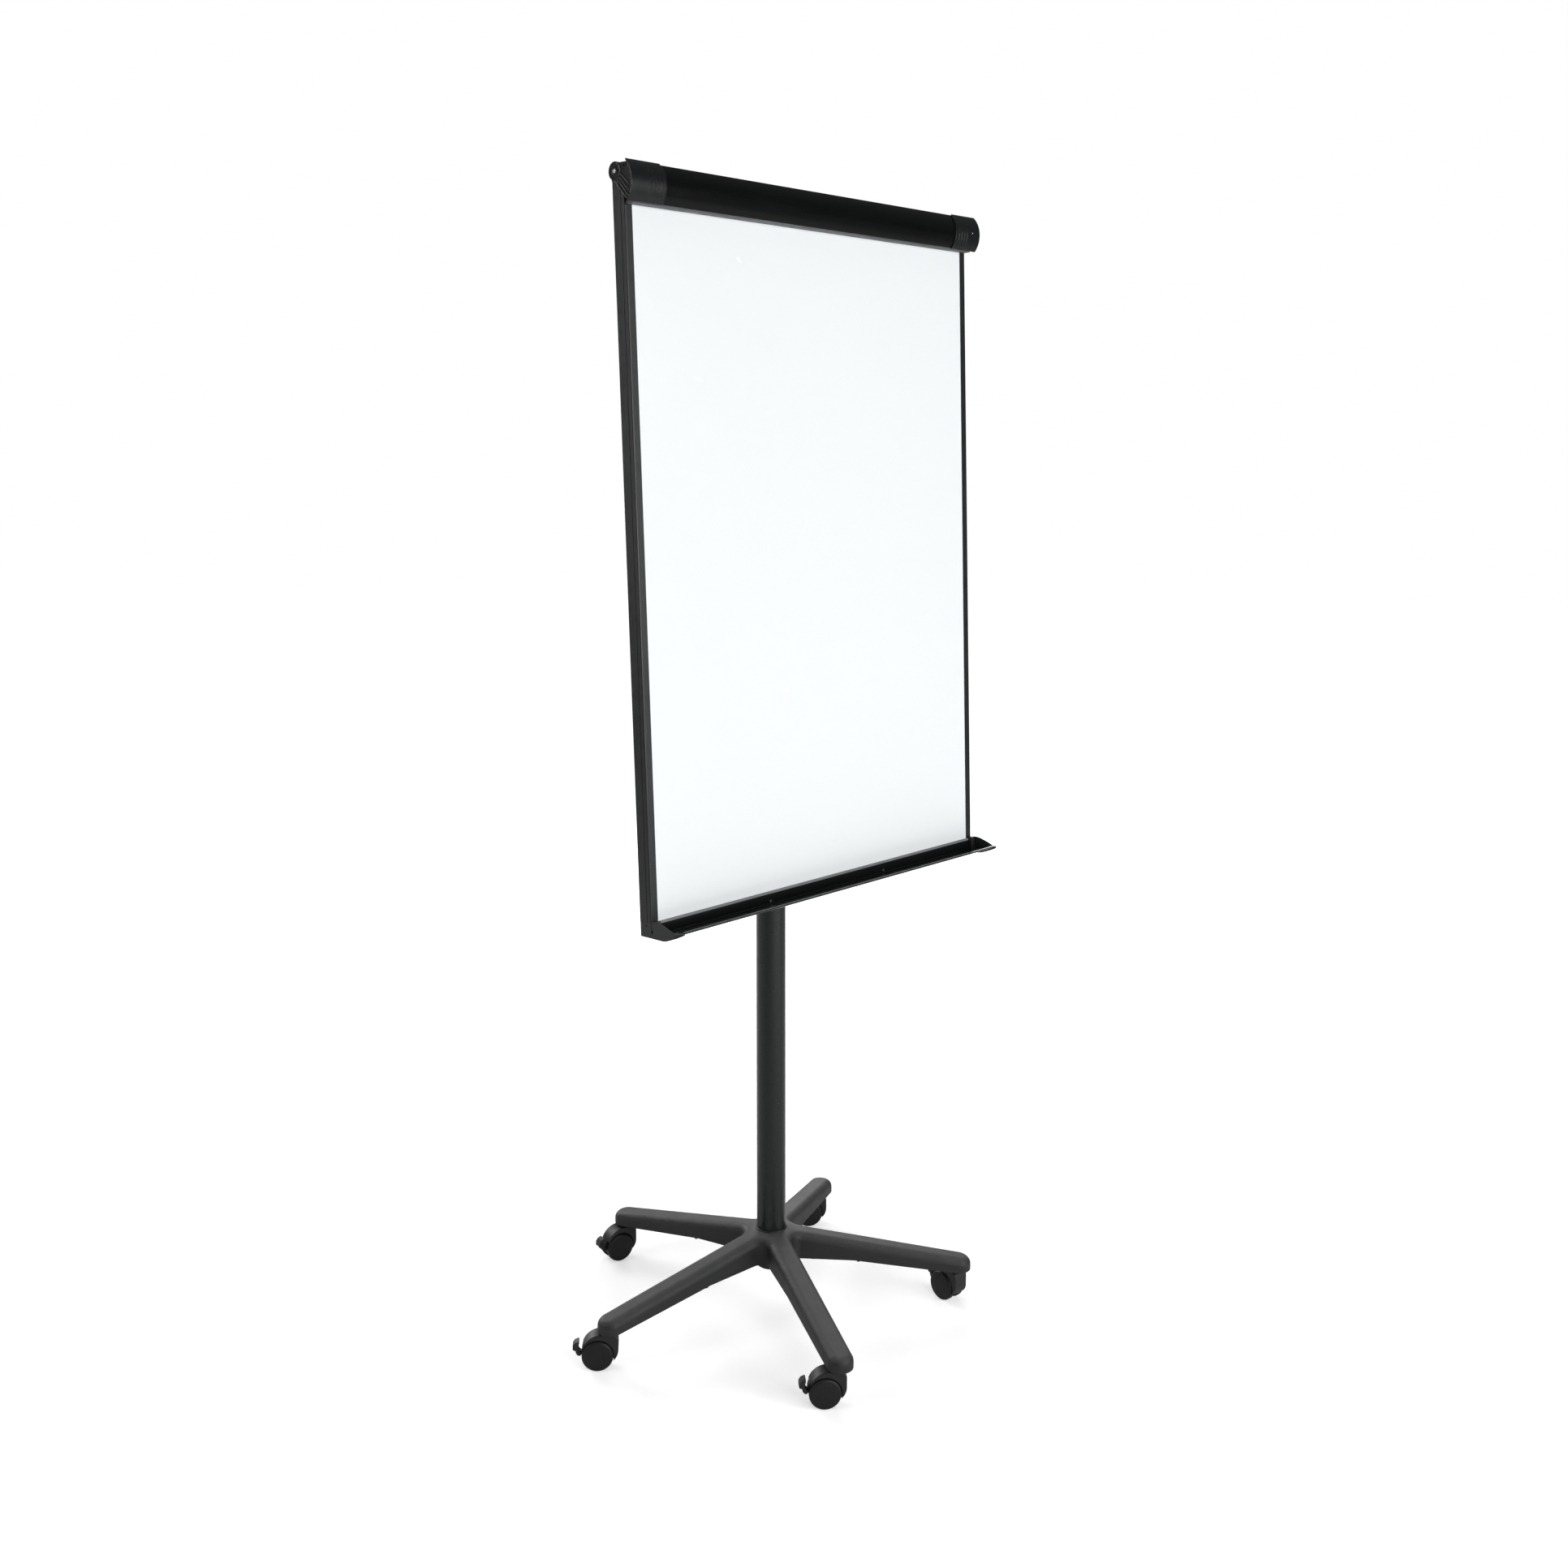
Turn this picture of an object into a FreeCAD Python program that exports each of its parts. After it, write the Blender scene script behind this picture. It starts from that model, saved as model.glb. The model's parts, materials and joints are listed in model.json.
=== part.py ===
import FreeCAD, Part
import math
import os

from FreeCAD import Placement, Rotation, Vector

# Mobile magnetic whiteboard and flip-chart easel on a five-star castor base.
# Millimetres. The origin is on the floor under the column's axis, +Z is up,
# the board faces -Y and its width runs along X.

# ---- driving dimensions -------------------------------------------------

# Castors: twin 48 mm wheels
WHEEL_R = 24.0
WHEEL_INNER = 5.6           # from the castor's middle plane to a wheel's inner face
WHEEL_OUTER = 17.2          # and to the crown of its outer disc
AXLE_R = 3.0
TRAIL = 22.0                # from the swivel axis to the axle
HOOD_HALF = 13.0            # half the width of the hood
HOOD_TOP = 57.0
HOOD_R = 29.5               # its round back,
HOOD_BACK_X = 16.5          # whose centre is this far behind the swivel axis
HOOD_FRONT = -9.8
WELL_R = 25.2               # the wheel well inside it
WEB_HALF = 5.0              # half the web between the wheels
LEVER_PIVOT = (49.4, 24.8)  # x and z in the castor's own frame
LEVER_HALF = 6.5
TONGUE_HALF = 2.5           # half the tongue the lever straddles
LEVER_PIN_R = 1.6

# Star base
ARMS = 5
BASE_TURN = -44.7           # direction of the first arm, in degrees from +X
CASTOR_HEADINGS = (83, 140, 169, 138, 140)  # where each castor trails, in degrees
ARM_W = 40.0
ARM_END_R = 304.0           # centre of an arm's round end
CASTOR_R = 302.0            # circle of the castor stems
HUB_TOP = 135.0
HUB_FLAT_R = 27.0
ARM_TOP_END = 82.0          # top of an arm at ARM_END_R
SKIRT_HUB = 89.0            # lower edge of the base at the hub,
SKIRT_KNEE = (135.0, 84.0)  # at its knee (radius, height)
SKIRT_END = 59.0            # and at ARM_END_R
BASE_WALL = 4.0
BASE_CORNER_R = 15.0        # inner corners between the arms
BASE_RIM_R = 13.0           # rounding along the top of the arms
STEM_R = 5.5
SPIGOT_R = 3.5

# Column
OUTER_R = 23.0
OUTER_WALL = 2.0
INNER_R = 20.0
INNER_WALL = 1.5
OUTER_BOTTOM, OUTER_TOP = 92.0, 1175.0
INNER_BOTTOM, INNER_TOP = 700.0, 1560.0
COLLAR_R = 30.0
COLLAR_Z = (1140.0, 1192.0)
KNOB_Z = 1162.0
KNOB_R = 19.0
RUNNING = 0.06              # radial clearance of a running fit

# Board: its own frame has y = 0 on the white face, z = 0 at the tray
BOARD_TILT = 2.03
BOARD_ORIGIN = (0.0, -118.3, 737.4)
BOARD_HALF = 354.5          # half the framed width
TRIM_W = 12.5               # the strip seen beside the white face
TRIM_BOTTOM, TRIM_TOP = 1.3, 972.0
SHEET_T = 0.8
FIELD_Z = (2.0, 943.0)      # the free white field, between the tray and the clamp bar
PANEL_T = 5.0
RAIL_FRONT, RAIL_BACK = 6.5, 22.5
RAIL_W = 20.0
RAIL_TOP = 975.0
RAIL_WALL = 1.5
CROSS_RAIL_Z = (560.0, 760.0)
CROSS_RAIL_H = 26.0

# Pen tray
TRAY_HALF = 345.0
TRAY_END = 354.8            # outer face of the moulded ends
TRAY_CAP_WALL = 1.6

# Clamp bar
HINGE = (11.0, 986.0)       # y and z of its pivot, in the board's frame
HUB_R = 11.8
PIN_R = 2.5
COVER_HALF = 353.5
GRIP_INNER, GRIP_OUTER = 302.0, 362.0
GRIP_PROUD = 1.2            # how far the grips stand out from the cover
GROOVE_X = (311.0, 317.5, 324.0, 330.5)
GROOVE_Z = (953.0, 985.0)
GROOVE_HALF, GROOVE_DEPTH = 0.6, 0.4
CLAMP_ARM = (355.0, 358.0)
CLAMP_RIBS = (((1.0, 983.0), (-15.5, 967.5)), ((2.2, 977.0), (-15.0, 960.0)),
              ((6.0, 975.5), (-13.5, 953.5)), ((7.6, 970.3), (-11.0, 949.6)))
COVER_T = 1.8
HOOK_X = 235.0
HOOK_Z = 958.0

parts = {}


# ---- building helpers ---------------------------------------------------

def box(x, y, z):
    return Part.makeBox(x[1] - x[0], y[1] - y[0], z[1] - z[0], Vector(x[0], y[0], z[0]))


def cylinder(r, low, high, axis="Z", at=(0.0, 0.0)):
    """A cylinder from low to high along an axis; at is its place on the other two axes."""
    a, b = at
    base = {"X": Vector(low, a, b), "Y": Vector(a, low, b), "Z": Vector(a, b, low)}[axis]
    along = {"X": Vector(1, 0, 0), "Y": Vector(0, 1, 0), "Z": Vector(0, 0, 1)}[axis]
    return Part.makeCylinder(r, high - low, base, along)


def tube(outer, inner, low, high, axis="Z", at=(0.0, 0.0)):
    return cylinder(outer, low, high, axis, at).cut(cylinder(inner, low - 1, high + 1, axis, at))


def outline(plane, offset, start, *steps):
    """A closed wire. A step is a point, for a line, or a pair (through, end), for an arc."""
    def at(p):
        u, v = p
        return {"YZ": Vector(offset, u, v), "XZ": Vector(u, offset, v),
                "XY": Vector(u, v, offset)}[plane]
    edges, here = [], at(start)
    for step in steps + (start,):
        if isinstance(step[0], tuple):
            end = at(step[1])
            edges.append(Part.Arc(here, at(step[0]), end).toShape())
        else:
            end = at(step)
            if end.distanceToPoint(here) < 1e-6:
                continue
            edges.append(Part.makeLine(here, end))
        here = end
    return Part.Wire(edges)


def extrude(plane, low, high, start, *steps):
    along = {"YZ": Vector(1, 0, 0), "XZ": Vector(0, 1, 0), "XY": Vector(0, 0, 1)}[plane]
    return Part.Face(outline(plane, low, start, *steps)).extrude(along * (high - low))


def circle_through(a, b, c):
    """Centre and radius of the circle through three points."""
    circle = Part.Arc(Vector(*a, 0), Vector(*b, 0), Vector(*c, 0)).toShape().Curve
    return (circle.Center.x, circle.Center.y), circle.Radius


def revolve(start, *steps):
    """A (radius, z) outline turned about the Z axis."""
    face = Part.Face(outline("XZ", 0.0, start, *steps))
    return face.revolve(Vector(0, 0, 0), Vector(0, 0, 1), 360)


def mirrored(shape):
    return shape.mirror(Vector(0, 0, 0), Vector(1, 0, 0))


def on_board(shape):
    """Moves a shape from the board's frame to the object's."""
    moved = shape.copy()
    place = Placement(Vector(*BOARD_ORIGIN), Rotation(Vector(1, 0, 0), -BOARD_TILT))
    moved.Placement = place.multiply(moved.Placement)
    return moved


def fillet(shape, radius, wanted):
    edges = [e for e in shape.Edges if wanted(e)]
    return shape.makeFillet(radius, edges)


def save(name, *solids):
    shape = solids[0] if len(solids) == 1 else Part.makeCompound(list(solids))
    parts[name] = shape


# ---- star base ----------------------------------------------------------

def arm_top(r):
    return HUB_TOP - (HUB_TOP - ARM_TOP_END) * (r - HUB_FLAT_R) / (ARM_END_R - HUB_FLAT_R)


def skirt(r):
    knee_r, knee_z = SKIRT_KNEE
    return knee_z - (knee_z - SKIRT_END) * (r - knee_r) / (ARM_END_R - knee_r)


def star(width, end_r, corner_r, low, high):
    """Five round-ended arms joined at the middle, with rounded inner corners."""
    half = width / 2
    arm = box((0, end_r), (-half, half), (low, high)).fuse(
        cylinder(half, low, high, "Z", (end_r, 0)))
    arms = []
    for k in range(ARMS):
        turned = arm.copy()
        turned.rotate(Vector(0, 0, 0), Vector(0, 0, 1), BASE_TURN + 360 / ARMS * k)
        arms.append(turned)
    body = arms[0].multiFuse(arms[1:]).removeSplitter()
    corner = half / math.sin(math.pi / ARMS)

    def inner_corner(e):
        mid = e.CenterOfMass
        upright = abs(e.tangentAt(e.FirstParameter).z) > 0.99
        return upright and abs(math.hypot(mid.x, mid.y) - corner) < 1
    return fillet(body, corner_r, inner_corner)


def on_arm(shape, k):
    turned = shape.copy()
    turned.rotate(Vector(0, 0, 0), Vector(0, 0, 1), BASE_TURN + 360 / ARMS * k)
    return turned


def base_star():
    knee_r, knee_z = SKIRT_KNEE
    far = ARM_END_R + ARM_W
    envelope = revolve((0, SKIRT_HUB), (50, SKIRT_HUB), (knee_r, knee_z), (ARM_END_R, SKIRT_END),
                       (far, SKIRT_END), (far, arm_top(far)), (HUB_FLAT_R, HUB_TOP), (0, HUB_TOP))
    body = star(ARM_W, ARM_END_R, BASE_CORNER_R, 40, 150).common(envelope)

    def top_rim(e):
        mid = e.valueAt((e.FirstParameter + e.LastParameter) / 2)
        r = math.hypot(mid.x, mid.y)
        return r > HUB_FLAT_R + 3 and abs(mid.z - arm_top(r)) < 0.5
    body = fillet(body, BASE_RIM_R, top_rim)

    roof = 2 * BASE_WALL
    hollow = revolve((36, 30), (far, 30), (far, arm_top(far) - roof), (36, arm_top(36) - roof))
    cavity = star(ARM_W - 2 * BASE_WALL, ARM_END_R, BASE_CORNER_R + BASE_WALL, 40, 150).common(hollow)
    for k in range(ARMS):
        for r, drop in ((68, 2), (knee_r + 5, 2), (190, -4), (245, -4)):
            lower = min(skirt(r), SKIRT_HUB) - drop
            rib = box((r - 2, r + 2), (-ARM_W / 2, ARM_W / 2), (lower, 150))
            cavity = cavity.cut(on_arm(rib, k))
        cavity = cavity.cut(on_arm(cylinder(9.5, SKIRT_END, 150, "Z", (CASTOR_R, 0)), k))
    body = body.cut(cavity)
    for k in range(ARMS):
        for r in (68, knee_r + 5):
            foot = box((r - 2, r + 2), (-ARM_W / 2 + 1, ARM_W / 2 - 1), (min(skirt(r), SKIRT_HUB) - 2, 95))
            body = body.fuse(on_arm(foot, k))
        socket = cylinder(STEM_R, SKIRT_END - 20, ARM_TOP_END - 5, "Z", (CASTOR_R, 0))
        body = body.cut(on_arm(socket, k))
    body = body.cut(cylinder(OUTER_R, OUTER_BOTTOM, HUB_TOP + 1))
    return body.cut(cylinder(14, 80, OUTER_BOTTOM + 1))


def hub_plug():
    """The pressed cup under the hub with the bolt that holds the column."""
    bore = OUTER_R - OUTER_WALL - 0.2
    cup = revolve((0, 71), (19, 71), ((23, 72.2), (24.5, 76)), (24.5, SKIRT_HUB), (13.8, SKIRT_HUB),
                  (13.8, OUTER_BOTTOM), (bore, OUTER_BOTTOM), (bore, 112), (0, 112))
    bolt_head = Part.makePolygon(
        [Vector(8 * math.cos(math.radians(60 * i)), 8 * math.sin(math.radians(60 * i)), 68.6)
         for i in range(7)])
    return cup.fuse(Part.Face(bolt_head).extrude(Vector(0, 0, 6)))


def castor_stems():
    stem = revolve((0, 41), (SPIGOT_R, 41), (SPIGOT_R, SKIRT_END), (STEM_R, SKIRT_END),
                   (STEM_R, ARM_TOP_END - 6.5), (STEM_R - 1.5, ARM_TOP_END - 5.2), (0, ARM_TOP_END - 5.2))
    stem.translate(Vector(CASTOR_R, 0, 0))
    return [on_arm(stem, k) for k in range(ARMS)]


# ---- castors ------------------------------------------------------------

def castor_frame(shape, k):
    """Moves a castor piece from its own frame (swivel axis on Z, trailing along +X) to arm k."""
    turn = math.radians(BASE_TURN + 360 / ARMS * k)
    stem = Vector(CASTOR_R * math.cos(turn), CASTOR_R * math.sin(turn), 0)
    place = Placement(stem, Rotation(Vector(0, 0, 1), CASTOR_HEADINGS[k]))
    moved = shape.copy()
    moved.Placement = place.multiply(moved.Placement)
    return moved


def around(centre, r, degrees):
    a = math.radians(degrees)
    return (centre[0] + r * math.cos(a), centre[1] + r * math.sin(a))


def castor_hood():
    back = (HOOD_BACK_X, HOOD_TOP - HOOD_R)
    barrel = cylinder(HOOD_R, -HOOD_HALF, HOOD_HALF, "Y", back)
    barrel = fillet(barrel, 2, lambda e: e.isClosed()).common(box((0, 60), (-20, 20), (-10, 60)))
    block = box((HOOD_FRONT, back[0]), (-HOOD_HALF, HOOD_HALF), (0, HOOD_TOP))
    block = fillet(block, 10, lambda e: e.CenterOfMass.x < HOOD_FRONT + 0.1 and e.CenterOfMass.z > HOOD_TOP - 0.1)

    def side_rim(e):
        mid = e.valueAt((e.FirstParameter + e.LastParameter) / 2)
        return abs(abs(mid.y) - HOOD_HALF) < 0.01 and (mid.x < HOOD_FRONT + 5 or mid.z > HOOD_TOP - 1)
    body = barrel.fuse(fillet(block, 2, side_rim)).removeSplitter()
    floor = extrude("XZ", -20, 20, (-20, 34), (HOOD_FRONT, 34), ((HOOD_FRONT + 1.5, 25.5), (-4.4, 18.3)),
                    (-1, 15), (38, 15), (60, 24), (60, -10), (-20, -10))
    body = body.cut(floor)
    for side in (1, -1):
        y = sorted((side * WEB_HALF, side * (HOOD_HALF + 1)))
        body = body.cut(cylinder(WELL_R, y[0], y[1], "Y", (TRAIL, WHEEL_R)).fuse(
            box((TRAIL, 60), y, (10, 38))))
    px, pz = LEVER_PIVOT
    body = body.cut(cylinder(4.2, -WEB_HALF - 1, WEB_HALF + 1, "Y", LEVER_PIVOT))
    tongue = box((px - 9, px), (-TONGUE_HALF, TONGUE_HALF), (pz - 3.2, pz + 3.2)).fuse(
        cylinder(3.2, -TONGUE_HALF, TONGUE_HALF, "Y", LEVER_PIVOT))
    body = body.fuse(tongue).fuse(cylinder(10, HOOD_TOP - 3, SKIRT_END - 0.3))
    body = body.cut(cylinder(LEVER_PIN_R + RUNNING, -6, 6, "Y", LEVER_PIVOT))
    body = body.cut(cylinder(AXLE_R, -HOOD_HALF, HOOD_HALF, "Y", (TRAIL, WHEEL_R)))
    return body.cut(cylinder(SPIGOT_R + RUNNING, 40.5, SKIRT_END))


def castor_wheel(side):
    """One wheel: smooth domed disc outside, rounded tread, recessed inner face."""
    rim = WHEEL_OUTER - 1.0
    wheel = revolve(
        (0, 14.4), (AXLE_R + RUNNING, 14.4), (AXLE_R + RUNNING, WHEEL_INNER), (8, WHEEL_INNER),
        (8, WHEEL_INNER + 3), (21, WHEEL_INNER + 3), (21, WHEEL_INNER + 0.4), (WHEEL_R - 1, WHEEL_INNER + 0.4),
        ((WHEEL_R - 0.3, WHEEL_INNER + 0.7), (WHEEL_R, WHEEL_INNER + 1.4)), (WHEEL_R, rim - 4.2),
        ((WHEEL_R - 1.15, rim - 1.3), (WHEEL_R - 4, rim)), (13, rim + 0.7), (6, WHEEL_OUTER), (0, WHEEL_OUTER))
    wheel.rotate(Vector(0, 0, 0), Vector(1, 0, 0), -90 * side)
    wheel.translate(Vector(TRAIL, 0, WHEEL_R))
    return wheel


def brake_lever():
    """A tab hooked up behind the hood, pressed down by foot; its root straddles the tongue."""
    px, pz = LEVER_PIVOT
    r = 2.9
    tab = extrude("XZ", -LEVER_HALF, LEVER_HALF, (49.8, 45.2), (56, 43), (59.2, 38.4), (59.4, 31.8),
                  (54.8, 29.6), ((54.1, 25.5), around(LEVER_PIVOT, r, -50)),
                  (around(LEVER_PIVOT, r, -115), around(LEVER_PIVOT, r, 180)), (px - r, pz + 1.5),
                  ((49, 28.3), (50.6, 31)), (51, 35), (49.4, 41.5))
    gap = TONGUE_HALF + 0.3
    slot = box((px - 5, px + 3.8), (-gap, gap), (pz - 4, pz + 4.2))
    return tab.cut(slot).fuse(cylinder(LEVER_PIN_R, -LEVER_HALF, LEVER_HALF, "Y", LEVER_PIVOT))


# ---- column -------------------------------------------------------------

def outer_column():
    body = tube(OUTER_R, OUTER_R - OUTER_WALL, OUTER_BOTTOM, OUTER_TOP)
    return body.cut(cylinder(4.3, 0, 40, "Y", (0, KNOB_Z)))


def column_foot_ring():
    return revolve((OUTER_R, HUB_TOP), (24.9, HUB_TOP), ((24.5, HUB_TOP + 1.5), (OUTER_R + 0.3, HUB_TOP + 2.2)),
                   (OUTER_R, HUB_TOP + 2.2))


def height_collar():
    low, high = COLLAR_Z
    body = revolve((OUTER_R, low), (COLLAR_R - 3, low), ((COLLAR_R - 0.9, low + 0.9), (COLLAR_R, low + 3)),
                   (COLLAR_R, high - 6), ((COLLAR_R - 1.8, high - 1.8), (COLLAR_R - 6, high)),
                   (INNER_R + RUNNING, high), (INNER_R + RUNNING, OUTER_TOP), (OUTER_R, OUTER_TOP))
    boss = cylinder(12, OUTER_R + 1, 43, "Y", (0, KNOB_Z)).cut(cylinder(OUTER_R + 1, low, high))
    return body.fuse(boss).cut(cylinder(4.06, OUTER_R - 3, 50, "Y", (0, KNOB_Z)))


def knob_stud():
    return cylinder(4, INNER_R + 0.4, 56, "Y", (0, KNOB_Z))


def height_knob():
    grip = cylinder(KNOB_R, 46, 66, "Y", (0, KNOB_Z)).fuse(cylinder(10, 43.4, 47, "Y", (0, KNOB_Z)))
    grip = fillet(grip, 3, lambda e: abs(e.CenterOfMass.y - 66) < 0.01)
    for k in range(6):
        a = math.radians(60 * k + 30)
        place = ((KNOB_R + 3) * math.cos(a), KNOB_Z + (KNOB_R + 3) * math.sin(a))
        grip = grip.cut(cylinder(6.5, 45, 67, "Y", place))
    return grip.cut(cylinder(4, 43, 56, "Y", (0, KNOB_Z)))


def inner_column():
    return tube(INNER_R, INNER_R - INNER_WALL, INNER_BOTTOM, INNER_TOP)


def guide_bush():
    inner = INNER_R - INNER_WALL
    rim = OUTER_R - OUTER_WALL - RUNNING
    body = revolve((inner - 2, INNER_BOTTOM - 3), (rim, INNER_BOTTOM - 3), (rim, INNER_BOTTOM),
                   (inner, INNER_BOTTOM), (inner, INNER_BOTTOM + 30), (inner - 2, INNER_BOTTOM + 30))
    return body


def column_cap():
    inner = INNER_R - INNER_WALL
    return revolve((0, INNER_TOP - 12), (inner, INNER_TOP - 12), (inner, INNER_TOP), (INNER_R, INNER_TOP),
                   ((INNER_R - 1, INNER_TOP + 2.4), (INNER_R - 4, INNER_TOP + 3)), (0, INNER_TOP + 3))


def column_bracket(rail_z):
    """Ring round the inner column, a neck and a flange against a cross rail."""
    tilt = math.radians(BOARD_TILT)
    high = BOARD_ORIGIN[2] + rail_z * math.cos(tilt)
    half = CROSS_RAIL_H / 2 + 3
    flange = on_board(box((-45, 45), (RAIL_BACK, RAIL_BACK + 4), (rail_z - half, rail_z + half)))
    back = BOARD_ORIGIN[1] + (RAIL_BACK + 4) + rail_z * math.sin(tilt)
    neck = box((-13, 13), (back - 2.5, 0), (high - 12, high + 12))
    ring = cylinder(INNER_R + 7, high - 18, high + 18)
    body = flange.fuse(neck).fuse(ring)
    ring_gap = box((-1.5, 1.5), (INNER_R - 2, INNER_R + 10), (high - 20, high + 20))
    lugs = box((-9, 9), (INNER_R + 4, INNER_R + 16), (high - 10, high + 10))
    body = body.fuse(lugs).cut(ring_gap.fuse(box((-1.5, 1.5), (INNER_R, INNER_R + 17), (high - 20, high + 20))))
    return body.cut(cylinder(INNER_R, high - 30, high + 30))


# ---- board --------------------------------------------------------------

def writing_surface():
    """The steel sheet; its free field, inside the strips, tray and clamp, is a face of its own."""
    half, free = BOARD_HALF - 2, BOARD_HALF - TRIM_W - 0.5
    sheet = box((-half, half), (0, SHEET_T), (-4, TRIM_TOP - 1))
    field = box((-free, free), (0, SHEET_T), FIELD_Z)
    return sheet.cut(field).fuse(field)


def panel_core():
    half = BOARD_HALF - 2
    return box((-half, half), (SHEET_T, PANEL_T), (-4, TRIM_TOP - 1))


def edge_trim():
    """Folded edge profile: front strip, rounded side and rear lip, on the right side."""
    out, front, rear = BOARD_HALF, -1.0, PANEL_T + 1.0
    strip_in, lip_in, wall = BOARD_HALF - TRIM_W, BOARD_HALF - 9, 1.0
    return extrude("XY", TRIM_BOTTOM, TRIM_TOP, (strip_in, front), (out - 2, front),
                   ((out - 0.6, front + 0.6), (out, front + 2)), (out, rear), (lip_in, rear),
                   (lip_in, rear - wall), (out - 1.9, rear - wall), (out - 1.9, 0), (strip_in, 0))


def side_rail():
    x = (BOARD_HALF - RAIL_W, BOARD_HALF)
    outer = box(x, (RAIL_FRONT, RAIL_BACK), (0, RAIL_TOP))
    outer = fillet(outer, 1.5, lambda e: abs(e.tangentAt(0).z) > 0.99)
    inner = box((x[0] + RAIL_WALL, x[1] - RAIL_WALL), (RAIL_FRONT + RAIL_WALL, RAIL_BACK - RAIL_WALL),
                (-1, RAIL_TOP + 1))
    return outer.cut(inner)


def rail_core(low, high):
    """The tongue of a moulded end that fits inside a side rail."""
    x = (BOARD_HALF - RAIL_W + RAIL_WALL, BOARD_HALF - RAIL_WALL)
    return box(x, (RAIL_FRONT + RAIL_WALL, RAIL_BACK - RAIL_WALL), (low, high))


def rail_plug():
    x = (BOARD_HALF - RAIL_W, BOARD_HALF + 0.5)
    block = box(x, (RAIL_FRONT, RAIL_BACK - 0.5), (-20.5, 0))
    block = fillet(block, 2, lambda e: e.CenterOfMass.z < -1 and e.CenterOfMass.y > RAIL_BACK - 1)
    cheek = box((BOARD_HALF - 1.9, x[1]), (-0.9, RAIL_FRONT), (-20.5, TRIM_BOTTOM - 0.3))
    slot = box((x[1] - 1, x[1] + 1), (5, 10.5), (-5.2, -3.2))
    return block.fuse(cheek).cut(slot).fuse(rail_core(0, 18))


def hinge_lug():
    """Moulded top end of a side rail, with the ear that carries the clamp's pivot."""
    y, z = HINGE
    x = (BOARD_HALF - 12, BOARD_HALF)
    ear = cylinder(HUB_R - 1, x[0], x[1], "X", HINGE)
    neck = box(x, (y - 5, RAIL_BACK), (RAIL_TOP, z))
    cap = box((BOARD_HALF - RAIL_W, BOARD_HALF), (RAIL_FRONT, RAIL_BACK), (RAIL_TOP, RAIL_TOP + 2.5))
    body = ear.fuse(neck).fuse(cap).fuse(rail_core(RAIL_TOP - 25, RAIL_TOP))
    return body.cut(cylinder(PIN_R, x[0] - 1, x[1] + 1, "X", HINGE))


def cross_rail(z):
    half = BOARD_HALF - RAIL_W
    y = (RAIL_FRONT, RAIL_BACK)
    z_low, z_high = z - CROSS_RAIL_H / 2, z + CROSS_RAIL_H / 2
    outer = box((-half, half), y, (z_low, z_high))
    inner = box((-half - 1, half + 1), (y[0] + RAIL_WALL, y[1] - RAIL_WALL),
                (z_low + RAIL_WALL, z_high - RAIL_WALL))
    return outer.cut(inner)


def hex_head(radius, height):
    corners = [Vector(radius * math.cos(math.radians(60 * i)), 0, radius * math.sin(math.radians(60 * i)))
               for i in range(7)]
    return Part.Face(Part.makePolygon(corners)).extrude(Vector(0, height, 0))


def fixing_screws():
    screws = []
    for z in CROSS_RAIL_Z:
        for x in (-33, 33):
            screw = hex_head(5.2, 4)
            screw.translate(Vector(x, RAIL_BACK + 4, z))
            screws.append(screw)
    for x in (-126, 126):
        screws.append(cylinder(1.8, -4.4, -3.2, "Y", (x, -13)))
    return screws


# ---- pen tray -----------------------------------------------------------

def trough(low, high):
    """The hollow of the tray, as a solid: floor rising forward to the lip."""
    return extrude("YZ", low, high, (-3.2, 10), (-3.2, -17.2), (-4.8, -17.2), ((-32, -12.6), (-53, -5.2)),
                   (-56.4, -5.2), (-58, 10))


def pen_tray():
    """Rear wall with a bevelled top edge, trough, rising front and thin lip, on a channel."""
    tray = extrude("YZ", -TRAY_HALF, TRAY_HALF, (-0.5, 1.2), (-1.6, 1.2), (-3.2, -2), (-3.2, -15.6),
                   ((-3.7, -16.8), (-4.8, -17.2)), ((-32, -12.6), (-53, -5.2)), (-56.4, -5.2),
                   ((-57, -5.6), (-57, -6.4)), (-56.6, -7.4), ((-33, -16), (-8, -20.4)),
                   ((-2.6, -20.6), (-0.5, -18)))
    deep = box((-TRAY_HALF, TRAY_HALF), (-0.5, 4), (-7.5, -5.5))
    half = BOARD_HALF - RAIL_W - 0.5
    shelf = box((-half, half), (4, PANEL_T + 1.3), (-7.5, -5.5))
    flange = box((-half, half), (PANEL_T + 0.1, PANEL_T + 1.3), (-5.5, 10))
    return tray.fuse(deep).fuse(shelf).fuse(flange).removeSplitter()


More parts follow.
